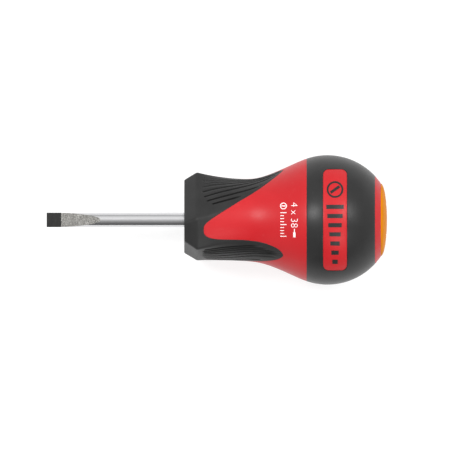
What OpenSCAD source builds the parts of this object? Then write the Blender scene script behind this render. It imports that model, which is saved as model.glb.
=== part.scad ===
// Stubby slotted screwdriver with a ball-ended three-material handle.
// The tool lies along X: the tip's end face is centred on the origin, the handle is towards +X,
// and the flats of the tip face +Z and -Z. Clock angles are measured from +Z towards +Y.

/* [Blade] */
// Length of the blade in front of the handle's face
blade_len = 38; // [30:0.5:60]
// Diameter of the round shank, which is also the width of the tip
shank_d = 4; // [3:0.1:5]
// Thickness of the flat tip
tip_t = 0.8; // [0.5:0.05:1.2]
// Length of the parallel part of the tip
tip_len = 4; // [2:0.5:6]
// Length over which the ground flats run out into the round shank
flats_len = 10.9; // [6:0.1:16]
// Length of the drawn-down tang that the handle holds
tang_len = 34; // [28:1:38]
// How much thinner the tang is than the shank
tang_step = 0.4; // [0.3:0.1:0.8]
// Width across the two wings that stop the tang from turning
wing_w = 7.6; // [6:0.2:9]
// Thickness of the wings
wing_t = 1.2; // [0.8:0.1:1.6]
// Length of the wings
wing_len = 8; // [5:0.5:12]
// Distance from the shank's shoulder to the wings
wing_inset = 14; // [10:0.5:18]

/* [Handle] */
// Length of the handle with its end cap
handle_len = 56; // [50:0.5:70]
// Diameter of the ball
ball_d = 35.8; // [31:0.2:42]
// Diameter of the waist between the collar and the ball
waist_d = 22.6; // [21:0.2:25]
// Clearance between parts that are moulded or pressed together
bond_gap = 0.03; // [0.02:0.01:0.08]

/* [Collar] */
// Corner radius of the six-sided front face
face_r = 11.1; // [10.5:0.1:12]
// Radius of the three tall corners of the ridge
tall_r = 13.4; // [12.8:0.1:14.5]
// Radius of the three low corners of the ridge
low_r = 12.8; // [12.4:0.1:14]
// Length of the chamfer from the front face to the ridge
chamfer_len = 3.5; // [2.5:0.1:4.5]
// Half angle that a narrow side spans at the front face
face_half = 14; // [10:1:18]
// Half angle that a narrow side spans at the ridge
ridge_half = 20; // [17:1:24]
// Clock angle of the first narrow side
narrow_turn = -18; // [-30:1:0]

/* [Finger pads] */
// Thickness of the soft grip
grip_t = 1.8; // [1.2:0.1:2.4]
// Distance from the ridge back to the tongues' rounded front ends
tongue_back = 1.9; // [1:0.1:3]
// Distance from the pads' rear tips to the ball band
pad_to_band = 6.45; // [5:0.05:9]
// Angle by which the pads' lower edges wind round the handle
pad_wind = 70.2; // [60:0.1:76]
// Angle between the ridge line and the tongue's front end on its upper side
lean_up = 16.2; // [12:0.1:18]
// Angle between the ridge line and the tongue's front end on its lower side
lean_down = 24.4; // [20:0.1:26]

/* [Ball band] */
// Thickness of the soft band round the ball
band_t = 2; // [1.2:0.1:3]
// Distance from the ball's centre forward to the band's front edge
band_fore = 5.75; // [4:0.05:8]
// Width of the hard rim between the band and the end cap
rim_w = 1.6; // [1:0.1:3]
// Length of the inlay in the band, round the ball
inlay_len = 28; // [20:0.5:30]
// Width of the inlay, along the handle
inlay_w = 6.6; // [4:0.1:9]
// Corner radius of the inlay
inlay_corner = 1.6; // [1:0.1:2]
// Distance from the ball's centre back to the middle of the inlay
inlay_aft = 2.1; // [0:0.1:5]
// Depth of the inlay's face below the ball
inlay_sink = 0.1; // [0.05:0.05:0.3]

/* [Core and cap] */
// Radius of the core's nose, round the shank
nose_r = 5; // [4.4:0.1:6]
// Depth of the nose below the front face
nose_sink = 0.3; // [0.1:0.1:0.6]
// Wall of the hard shell between the core and the finger pads
waist_wall = 3; // [2:0.1:3.6]
// Wall of the hard shell between the core and the front of the ball band
ball_wall = 3.8; // [3:0.1:5]
// Wall of the core round the cap's spigot
socket_wall = 2; // [1.4:0.1:3]
// Height of the ribs that key the core into the shell
rib_h = 1.2; // [0.6:0.1:1.6]
// Width of the ribs
rib_w = 2; // [1.2:0.1:3]
// Radius of the end cap
cap_r = 10; // [9:0.1:10.6]
// Height of the end cap's crown
cap_h = 1.7; // [1:0.1:2.4]
// Width of the shell's step round the end cap
cap_step = 0.14; // [0.1:0.02:0.4]
// Radius of the cap's spigot
spigot_r = 5; // [4:0.1:5.6]
// Length of the cap's spigot
spigot_len = 4; // [3:0.1:5]
// Depth of the screw sign sunk in the cap
sign_depth = 0.3; // [0.2:0.05:0.5]

/* [Hidden] */

LOBES = 3;
LOBE = 360 / LOBES;
TONGUE_STEPS = 10; // facets round a tongue
PAD_STEPS = 14;    // facets round a pad
ROUND = 96;        // facets of a round cut in a moulded skin
OUTSIDE = 25;      // a radius outside the whole handle
INSIDE = 5.5;      // a radius under every moulded skin
OVER = 1;          // how far a cutter passes the face that it cuts

ball_r = ball_d / 2;
waist_r = waist_d / 2;
face_x = blade_len;
ridge_x = face_x + chamfer_len;
end_x = face_x + handle_len - cap_h;
ball_x = end_x - sqrt(pow(ball_r, 2) - pow(cap_r + cap_step, 2));
band_x0 = ball_x - band_fore;
band_x1 = end_x - rim_w;
tongue_x = ridge_x + tongue_back;
pad_tip_x = band_x0 - pad_to_band;
neck_len = band_x0 - ridge_x;
waist_x = ridge_x + 0.355 * neck_len;  // narrowest place along the tongues
hollow_x = ridge_x + 0.467 * neck_len; // narrowest place along the pads
pad_len = pad_tip_x - ridge_x;
pad_end_x = pad_tip_x - 0.006 * (pad_tip_x - tongue_x); // the pads' tips are slightly blunt
shell_x = face_x + grip_t;
shoulder_x = face_x + nose_sink;
core_r = waist_r - grip_t - waist_wall;
core_ball_r = sqrt(pow(ball_r - band_t, 2) - pow(band_fore, 2)) - ball_wall;
core_end_r = spigot_r + socket_wall;
rib_x0 = band_x0 + 1.5;
rib_x1 = (ball_x + band_x1) / 2 - 0.5;
low_slope = -0.17;   // slope of the tongues' profile at the ridge
tall_slope = -0.30;  // slope of the pads' profile at the ridge
swell_half = 0.2726; // share of the rise to the ball that is done at mid-length
lower_bow = 7.2;     // how far the lower ridge line bows, in degrees
tip_share = 0.1;     // share of a pad's length in which its tip rounds off
tip_gap = LOBE - 2 * ridge_half - pad_wind; // angle that the rounding closes
tip_fall = 0.64;     // share of that angle which the upper side of the tip closes

// ---- Curves of the handle's outer surface ----

function mix(a, b, t) = a + (b - a) * t;

// Cubic between two radii with a stated slope at each end
function hermite(t, span, r0, slope0, r1, slope1) =
    r0 * (2 * pow(t, 3) - 3 * pow(t, 2) + 1)
    + slope0 * span * (pow(t, 3) - 2 * pow(t, 2) + t)
    + r1 * (3 * pow(t, 2) - 2 * pow(t, 3))
    + slope1 * span * (pow(t, 3) - pow(t, 2));

function ball_at(x, r = ball_r) = sqrt(max(0, pow(r, 2) - pow(x - ball_x, 2)));

// Rise from the waist to the ball: a quartic that leaves level, has done swell_half of the rise
// at mid-length and arrives with the ball's own slope
function swell(t, slope) =
    let (c = 16 * swell_half - 8 + 2 * slope)
    pow(t, 2) * (3 - slope + c + (slope - 2 - 2 * c) * t + c * pow(t, 2));

// Radius along the tongues' upper edges
function crown_r(x) =
    x < waist_x ? hermite((x - ridge_x) / (waist_x - ridge_x), waist_x - ridge_x,
                          low_r, low_slope, waist_r, 0)
    : x < band_x0 ?
        let (run = band_x0 - waist_x, rise = ball_at(band_x0) - waist_r)
        waist_r + rise * swell((x - waist_x) / run, band_fore / ball_at(band_x0) * run / rise)
    : ball_at(x);

function crown_slope(x, step = 0.01) = (crown_r(x + step) - crown_r(x - step)) / (2 * step);

// Radius along the tongues' lower edges, which runs deeper under the fingers
function hollow_r(x) =
    x < hollow_x ? hermite((x - ridge_x) / (hollow_x - ridge_x), hollow_x - ridge_x,
                           tall_r, tall_slope, waist_r, 0)
    : x < pad_tip_x ? hermite((x - hollow_x) / (pad_tip_x - hollow_x), pad_tip_x - hollow_x,
                              waist_r, 0, crown_r(pad_tip_x), crown_slope(pad_tip_x))
    : crown_r(x);

// Share of the way from the front face to the ridge, and from the ridge to the pads' tips
function chamfer_at(x) = min(1, (x - face_x) / chamfer_len);
function pad_at(x) = min(1, max(0, (x - ridge_x) / pad_len));

// How far a pad's tip has rounded off, as a quarter of an ellipse
function tip_round(x) = 1 - sqrt(1 - pow(max(0, 1 - (1 - pad_at(x)) / tip_share), 2));

// Clock angles of the first tongue's two ridge lines
function lower_line(x) =
    narrow_turn - mix(face_half, ridge_half, chamfer_at(x))
    + lower_bow * sin(180 * pow(pad_at(x), 1.4)) - tip_gap * tip_fall * tip_round(x);
function upper_line(x) =
    narrow_turn + mix(face_half, ridge_half, chamfer_at(x))
    + pad_wind * pow(pad_at(x), 1.45) + tip_gap * (1 - tip_fall) * tip_round(x);

// How flat a side still is: 1 is a straight chord between its corners, 0 is a round arc
function tongue_flat(x) = pow(1 - min(1, max(0, x - ridge_x) / (0.31 * neck_len)), 2);
function pad_flat(x) = pow(1 - pad_at(x), 3);

// One side of the section, `into` degrees past its first corner
function side_r(into, span, r0, r1, flat) =
    mix(r0, r1, into / span) * (1 - flat * (1 - cos(span / 2) / cos(into - span / 2)));

function wrapped(a) = a - LOBE * floor(a / LOBE);

function handle_r(x, a) =
    x > pad_tip_x ? crown_r(x)
    : let (
        low = lower_line(x),
        span = upper_line(x) - low,
        into = wrapped(a - low),
        tall = x < ridge_x ? mix(face_r, tall_r, chamfer_at(x)) : hollow_r(x),
        short = x < ridge_x ? mix(face_r, low_r, chamfer_at(x)) : crown_r(x)
    )
    into < span ? side_r(into, span, tall, short, tongue_flat(x))
    : side_r(into - span, LOBE - span, short, tall, pad_flat(x));

// ---- Solids from rings ----

// A point at distance r from the handle's axis, at clock angle a
function around(x, r, a) = [x, r * sin(a), r * cos(a)];

// A closed solid through rings of equal length, in order of rising x
module skin(rings) {
    n = len(rings[0]);
    last = (len(rings) - 1) * n;
    sides = [for (k = [0:len(rings) - 2], i = [0:n - 1])
        let (j = (i + 1) % n, p = k * n, q = p + n)
        each [[p + i, p + j, q + j], [p + i, q + j, q + i]]];
    front = [for (i = [n - 1:-1:0]) i];
    back = [for (i = [0:n - 1]) last + i];
    polyhedron(points = [for (r = rings) each r], faces = concat([front], sides, [back]));
}

// Clock angles of a ring's points. They follow the ridge lines while those are sharp.
function ring_angles(x) =
    let (
        at = min(x, ridge_x + 0.3 * neck_len),
        low = lower_line(at),
        span = upper_line(at) - low
    )
    [for (lobe = [0:LOBES - 1], i = [0:TONGUE_STEPS + PAD_STEPS - 1])
        lobe * LOBE + low + (i < TONGUE_STEPS ? span * i / TONGUE_STEPS
                             : span + (LOBE - span) * (i - TONGUE_STEPS) / PAD_STEPS)];

// A ring of the handle's surface, sunk by `inset`
function handle_ring(x, inset = 0) =
    [for (a = ring_angles(x)) around(x, handle_r(x, a) - inset, a)];

// A ring of the seat under the ball band
function seat_ring(x) =
    [for (a = ring_angles(x)) around(x, ball_at(x, ball_r - band_t - bond_gap), a)];

function steps(x0, x1, n) = [for (i = [0:n]) mix(x0, x1, i / n)];

neck_steps = concat(steps(ridge_x, pad_tip_x, 14), steps(pad_tip_x + 1.2, band_x0, 4));

// Everything inside the handle's outer surface, with the seat of the ball band cut in
// and the inlay standing up from that seat
module handle_blank() {
    skin(concat(
        [handle_ring(face_x)],
        [for (x = neck_steps) handle_ring(x)],
        [for (x = steps(band_x0, band_x1, 12)) seat_ring(x)],
        [for (x = steps(band_x1, end_x, 3)) handle_ring(x)]
    ));
    intersection() {
        translate([ball_x, 0, 0])
            sphere(r = ball_r - inlay_sink, $fn = ROUND);
        inlay_prism();
    }
}

// What stays under the soft grip
module under_grip() {
    skin(concat(
        [handle_ring(shell_x, grip_t)],
        [for (x = concat(neck_steps, [band_x0 + OVER])) handle_ring(x, grip_t)]
    ));
}

// ---- Outline of the soft grip ----

// Clock angles of the two edges of the first tongue, which meet in its rounded front end
function tongue_upper(x) =
    upper_line(x) - lean_up * (1 - pow(min(1, (x - tongue_x) / (0.41 * pad_len)), 1 / 3));
function tongue_lower(x) =
    lower_line(x) + lean_down * (1 - pow(min(1, (x - tongue_x) / (0.55 * pad_len)), 1 / 3));

// One finger pad's patch of the surface, from the axis side out past it
module pad_wedge(lobe) {
    rows = 30; // closer together at the tongue's front end and at the pad's tip
    cols = 12;
    places = concat([-OVER], [for (i = [0:rows])
        (pad_end_x - tongue_x) * (1 - pow(1 - pow(i / rows, 1.8), 1.5))]);
    skin([for (s = places)
        let (
            x = tongue_x + s,
            a0 = lobe * LOBE + tongue_upper(tongue_x + max(0, s)),
            a1 = (lobe + 1) * LOBE + tongue_lower(tongue_x + max(0, s))
        )
        concat(
            [for (i = [0:cols]) around(x, OUTSIDE, mix(a0, a1, i / cols))],
            [for (i = [cols:-1:0]) around(x, INSIDE, mix(a0, a1, i / cols))]
        )]);
}

// All the space in which the handle is soft: the front wall, the collar and the three pads
module grip_space() {
    difference() {
        union() {
            translate([face_x - OVER, 0, 0])
                rotate([0, 90, 0])
                    cylinder(r = OUTSIDE, h = tongue_x - face_x + OVER, $fn = ROUND);
            for (lobe = [0:LOBES - 1])
                pad_wedge(lobe);
        }
        under_grip();
    }
}

// ---- Turned shapes ----

// A solid of revolution about the handle's axis, from [radius, x] points
module turned(outline) {
    rotate([0, 90, 0])
        rotate_extrude($fn = ROUND)
            polygon(outline);
}

// A round bar along the handle's axis
module bar(x0, x1, r) {
    translate([x0, 0, 0])
        rotate([0, 90, 0])
            cylinder(r = r, h = x1 - x0, $fn = ROUND);
}

// A rectangle with round corners, centred
module rounded_rectangle(along, across, corner) {
    square([along - 2 * corner, across], center = true);
    square([along, across - 2 * corner], center = true);
    for (sx = [-1, 1], sy = [-1, 1])
        translate([sx * (along / 2 - corner), sy * (across / 2 - corner)])
            circle(r = corner, $fn = 32);
}

// The inlay's outline, raised through the band on the +Z side
module inlay_prism(grow = 0) {
    translate([ball_x + inlay_aft, 0, ball_r / 4])
        linear_extrude(height = ball_r)
            rounded_rectangle(inlay_w + 2 * grow, inlay_len + 2 * grow, inlay_corner + grow);
}

// The core's outer shape, `grow` larger all round
module core_solid(grow = 0) {
    turned([
        [0, shoulder_x - 2 * grow],
        [nose_r + grow, shoulder_x - 2 * grow],
        [nose_r + grow, ridge_x + 2],
        [core_r + grow, ridge_x + 4],
        [core_r + grow, pad_tip_x - 4],
        [core_ball_r + grow, band_x0 + 1],
        [core_ball_r + grow, (ball_x + band_x1) / 2],
        [core_end_r + grow, band_x1 - 2],
        [core_end_r + grow, end_x + 2 * grow],
        [0, end_x + 2 * grow]
    ]);
    for (i = [0:LOBES - 1])
        rotate([i * LOBE, 0, 0])
            translate([rib_x0 - grow, -rib_w / 2 - grow, 0])
                cube([rib_x1 - rib_x0 + 2 * grow, rib_w + 2 * grow, core_ball_r + rib_h + grow]);
}

// ---- Pieces ----

module blade() {
    r = shank_d / 2;
    flats_slope = (r - tip_t / 2) / flats_len;
    far_x = tip_len + (shank_d - tip_t / 2) / flats_slope;
    end = shoulder_x + tang_len;
    color("silver") {
        intersection() {
            bar(0, shoulder_x, r);
            rotate([90, 0, 0])
                linear_extrude(height = 2 * shank_d, center = true)
                    polygon([
                        [0, -tip_t / 2], [0, tip_t / 2], [tip_len, tip_t / 2],
                        [far_x, shank_d], [blade_len * 2, shank_d],
                        [blade_len * 2, -shank_d], [far_x, -shank_d], [tip_len, -tip_t / 2]
                    ]);
        }
        turned([
            [0, shoulder_x - OVER / 2], [r - tang_step / 2, shoulder_x - OVER / 2],
            [r - tang_step / 2, end - 1], [r / 2, end], [0, end]
        ]);
        translate([shoulder_x + wing_inset, -wing_w / 2, -wing_t / 2])
            cube([wing_len, wing_w, wing_t]);
    }
}

module handle_core() {
    color("#2b2b2d")
        difference() {
            core_solid();
            blade();
            bar(end_x - spigot_len - bond_gap, end_x + OVER, spigot_r + bond_gap);
        }
}

module handle_shell() {
    color("#d8262c")
        resize([end_x - shell_x, 0, 0])
            difference() {
                handle_blank();
                grip_space();
                core_solid(bond_gap);
            }
}

module front_grip() {
    color("#3a3b3b")
        resize([pad_end_x - face_x, 0, 0])
            difference() {
                intersection() {
                    handle_blank();
                    grip_space();
                }
                bar(face_x - OVER, shell_x + OVER, nose_r + bond_gap);
            }
}

module ball_band() {
    color("#3a3b3b")
        difference() {
            intersection() {
                translate([ball_x, 0, 0])
                    sphere(r = ball_r, $fn = ROUND);
                bar(band_x0, band_x1, OUTSIDE);
            }
            translate([ball_x, 0, 0])
                sphere(r = ball_r - band_t, $fn = ROUND);
            inlay_prism(bond_gap);
        }
}

module end_cap() {
    rows = 20;
    crown = [for (i = [0:rows])
        let (a = 90 * i / rows)
        [cap_r * cos(a), end_x + cap_h * sin(a)]];
    color("#e8941e")
        difference() {
            turned(concat(
                [[0, end_x - spigot_len], [spigot_r, end_x - spigot_len], [spigot_r, end_x]],
                crown
            ));
            translate([end_x + cap_h - sign_depth, 0, 0])
                rotate([0, 90, 0])
                    linear_extrude(height = cap_h) {
                        square([1.4, 6.4], center = true);
                        difference() {
                            circle(r = 4.6, $fn = ROUND);
                            circle(r = 4, $fn = ROUND);
                        }
                    }
        }
}

blade();
handle_core();
handle_shell();
front_grip();
ball_band();
end_cap();
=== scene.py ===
"""Visual model of a stubby slotted screwdriver with a ball-ended, three-material handle.

The tool lies along X, with the tip's end face on the origin and the handle towards +X.
Lengths in the classes are millimetres, and become metres where a vertex is placed.
Clock angles are degrees, measured from +Z towards +Y.
"""
import logging
import math
from abc import ABC, abstractmethod
from dataclasses import dataclass
from enum import Enum
from functools import lru_cache
from typing import Callable, Sequence

import bmesh
import bpy
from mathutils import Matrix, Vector


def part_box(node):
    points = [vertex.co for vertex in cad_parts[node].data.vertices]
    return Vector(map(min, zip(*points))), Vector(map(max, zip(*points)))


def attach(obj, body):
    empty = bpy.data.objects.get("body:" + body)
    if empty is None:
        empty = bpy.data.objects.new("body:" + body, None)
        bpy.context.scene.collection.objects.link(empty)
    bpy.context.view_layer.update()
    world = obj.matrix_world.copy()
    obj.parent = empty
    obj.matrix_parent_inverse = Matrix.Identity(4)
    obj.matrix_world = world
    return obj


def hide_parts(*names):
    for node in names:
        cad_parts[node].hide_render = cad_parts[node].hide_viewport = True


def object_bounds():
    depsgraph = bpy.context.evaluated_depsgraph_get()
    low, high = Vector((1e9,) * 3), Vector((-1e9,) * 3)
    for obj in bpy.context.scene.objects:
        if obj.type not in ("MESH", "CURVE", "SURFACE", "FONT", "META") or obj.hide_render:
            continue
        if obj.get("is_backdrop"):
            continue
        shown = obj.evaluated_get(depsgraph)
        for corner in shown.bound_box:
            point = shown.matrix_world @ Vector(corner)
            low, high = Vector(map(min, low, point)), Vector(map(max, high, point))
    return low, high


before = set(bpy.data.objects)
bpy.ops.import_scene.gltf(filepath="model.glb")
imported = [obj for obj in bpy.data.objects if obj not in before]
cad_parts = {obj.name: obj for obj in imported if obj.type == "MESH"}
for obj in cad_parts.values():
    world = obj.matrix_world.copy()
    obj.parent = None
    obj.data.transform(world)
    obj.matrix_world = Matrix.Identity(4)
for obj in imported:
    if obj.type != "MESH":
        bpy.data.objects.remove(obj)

MM = 0.001
LOBES = 3
LOBE = 360.0 / LOBES
MERGE = 0.002        # vertices nearer than this are one
SHARP_ANGLE = 35.0   # edges that turn more than this are shaded as creases
EDGE_STEPS = (0.0, 0.05, 0.12, 0.22)   # distances from a rolled edge at which the mesh has a line
EDGE_DEPTH = 0.05    # how far a rolled edge drops in all
EVEN_ROWS = 0.1      # share of even spacing in a pad's rows
FRONT_PACK = 1.9     # how closely the rows are packed at the pad's front
TIP_PACK = 1.35      # how closely they are packed at its tip
FIGURE_QUAD = 0.3    # side of the quads in the flat bars of the signs
RING_STEPS = 48      # faces round the flat rings of the signs
# places across a rounded ridge, in units of its softness, each with its weight
SOFT_PLACES = ((-1.0, 1.0), (-0.5, 2.0), (0.0, 2.0), (0.5, 2.0), (1.0, 1.0))
SOFT_SUM = sum(weight for _, weight in SOFT_PLACES)

Triple = tuple[float, float, float]
Pair = tuple[float, float]
Place = Callable[[int, int], Vector]

log = logging.getLogger("screwdriver")


# ---- Small geometry helpers ----

def mix(a: float, b: float, share: float) -> float:
    """Value the given share of the way from a to b."""
    return a + (b - a) * share


def clamp(value: float, low: float, high: float) -> float:
    """Value held between low and high."""
    return max(low, min(high, value))


def smooth_step(low: float, high: float, value: float) -> float:
    """Rises from 0 at low to 1 at high with level ends."""
    t = clamp((value - low) / (high - low), 0.0, 1.0)
    return t * t * (3.0 - 2.0 * t)


def steps(start: float, end: float, count: int) -> list[float]:
    """Evenly spaced values from start to end, both included."""
    return [mix(start, end, i / count) for i in range(count + 1)]


def hermite(t: float, span: float, r0: float, slope0: float, r1: float, slope1: float) -> float:
    """Cubic between two radii with a stated slope at each end.

    Args:
        t: Share of the way along, from 0 to 1.
        span: Length of the stretch.
        r0: Radius at the start.
        slope0: Slope at the start.
        r1: Radius at the end.
        slope1: Slope at the end.

    Returns:
        The radius at t.
    """
    return (r0 * (2 * t ** 3 - 3 * t ** 2 + 1) + slope0 * span * (t ** 3 - 2 * t ** 2 + t)
            + r1 * (3 * t ** 2 - 2 * t ** 3) + slope1 * span * (t ** 3 - t ** 2))


def lengthwise(t: float) -> float:
    """Share of a pad's length at a share of its rows, which lie closer near both ends."""
    return 1.0 - (1.0 - (EVEN_ROWS * t + (1.0 - EVEN_ROWS) * t ** FRONT_PACK)) ** TIP_PACK


def around(x: float, radius: float, angle: float) -> Vector:
    """Point at a radius from the tool's axis, at a clock angle."""
    turn = math.radians(angle)
    return Vector((x, radius * math.sin(turn), radius * math.cos(turn)))


def roll(distance: float) -> float:
    """How far a rolled edge has dropped.

    Args:
        distance: Distance from the edge in millimetres.

    Returns:
        The depth below the surface that the edge belongs to.
    """
    if distance >= EDGE_STEPS[-1]:
        return 0.0
    into = 1.0 - max(0.0, distance) / EDGE_STEPS[-1]
    return EDGE_DEPTH * (1.0 - math.sqrt(max(0.0, 1.0 - into ** 2)))


def rolled_steps(half: float, count: int) -> list[float]:
    """Values from -1 to 1, with the lines of a rolled edge close to both ends.

    Args:
        half: Half of the real length that the values stand for.
        count: Number of even steps between the rolled edges.

    Returns:
        The values, in rising order.
    """
    inner = 1.0 - EDGE_STEPS[-1] / half
    edge = [1.0 - step / half for step in EDGE_STEPS[:-1]]
    return [-value for value in edge] + steps(-inner, inner, count) + edge[::-1]


def rounded_outline(u: float, v: float, half_x: float, half_y: float,
                    corner: float) -> Pair:
    """Point of a rounded rectangle that lies towards a point of the unit square's edge.

    Args:
        u: First coordinate on the unit square's edge, from -1 to 1.
        v: Second coordinate on the unit square's edge.
        half_x: Half of the rectangle's first side.
        half_y: Half of its second side.
        corner: Corner radius.

    Returns:
        The two coordinates of the outline's point.
    """
    x, y = abs(u) * half_x, abs(v) * half_y
    in_x, in_y = half_x - corner, half_y - corner
    if x > in_x and y > in_y:
        square = x * x + y * y
        dot = x * in_x + y * in_y
        scale = (dot + math.sqrt(dot * dot - square * (in_x ** 2 + in_y ** 2 - corner ** 2))) / square
        x, y = x * scale, y * scale
    return math.copysign(x, u), math.copysign(y, v)


def square_walk(first: Sequence[float], second: Sequence[float]) -> list[Pair]:
    """Walks once round the unit square's edge and back to its start.

    Args:
        first: Rising values from -1 to 1 along the two sides where v is constant.
        second: Rising values from -1 to 1 along the two sides where u is constant.

    Returns:
        The (u, v) points. The last equals the first.
    """
    return ([(u, -1.0) for u in first] + [(1.0, v) for v in second[1:]]
            + [(u, 1.0) for u in reversed(first[:-1])] + [(-1.0, v) for v in reversed(second[:-1])])


# ---- Mesh helpers ----

def lay_patch(bm: bmesh.types.BMesh, rows: int, columns: int, place: Place) -> None:
    """Adds a quad patch and puts each of its vertices in place.

    Args:
        bm: Mesh that receives the patch.
        rows: Number of faces in the first direction.
        columns: Number of faces in the second direction.
        place: Gives a vertex's place in millimetres from its row and column number.
    """
    made = bmesh.ops.create_grid(bm, x_segments=rows, y_segments=columns, size=0.5)
    for vert in made["verts"]:
        row = round((vert.co.x + 0.5) * rows)
        column = round((vert.co.y + 0.5) * columns)
        vert.co = place(row, column) * MM


def merge_close(bm: bmesh.types.BMesh) -> None:
    """Joins the vertices that lie on each other."""
    bmesh.ops.remove_doubles(bm, verts=bm.verts[:], dist=MERGE * MM)
    bmesh.ops.dissolve_degenerate(bm, edges=bm.edges[:], dist=MERGE * MM / 4)


def close_ends(bm: bmesh.types.BMesh) -> None:
    """Fills the open ends of a lofted body and turns all faces outwards.

    Args:
        bm: Mesh of the body.
    """
    open_edges = [edge for edge in bm.edges if edge.is_boundary]
    bmesh.ops.holes_fill(bm, edges=open_edges, sides=0)
    bmesh.ops.recalc_face_normals(bm, faces=bm.faces[:])


def thicken(bm: bmesh.types.BMesh, wall: float, middle: Vector) -> None:
    """Gives an open outer skin a wall towards the inside.

    Args:
        bm: Mesh that holds the skin.
        wall: Wall thickness in millimetres.
        middle: A point inside, in millimetres, that the skin's faces should face away from.
    """
    bm.normal_update()
    facing = 0.0
    for face in bm.faces:
        out = face.calc_center_median() - middle * MM
        facing += face.normal.dot(out) * face.calc_area()
    if facing < 0:
        bmesh.ops.reverse_faces(bm, faces=bm.faces[:])
        bm.normal_update()
    bmesh.ops.solidify(bm, geom=bm.faces[:], thickness=wall * MM)


def crease(bm: bmesh.types.BMesh) -> None:
    """Shades everything smooth except sharp edges and edges between two materials.

    Args:
        bm: Mesh that is shaded.
    """
    bm.normal_update()
    limit = math.radians(SHARP_ANGLE)
    for face in bm.faces:
        face.smooth = True
    for edge in bm.edges:
        if len(edge.link_faces) != 2:
            continue
        one, other = edge.link_faces
        edge.smooth = one.material_index == other.material_index and edge.calc_face_angle(0.0) < limit


# ---- Finishes ----

class Slot(Enum):
    """Material slots of the pieces that are made here."""

    BLADE = "blade_steel"
    SHELL = "shell_plastic"
    GRIP = "grip_rubber"
    BAND = "band_rubber"
    CAP = "cap_plastic"
    INK = "print_ink"


TONE_RANGE = (0.35, 0.65)    # noise between which a colour goes from its base to its shade
GRAIN_RANGE = (0.3, 0.7)     # noise between which the roughness goes from its lowest to its highest
WORN_RANGE = (0.62, 0.74)    # noise between which scuff marks come up
MARKS_PER_SPOT = 5           # scuff marks across one spot of the tone
WORN_GREY = 0.6              # grey that a scuffed place goes towards
WORN_SHARE = 0.25            # how far it goes


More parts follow.
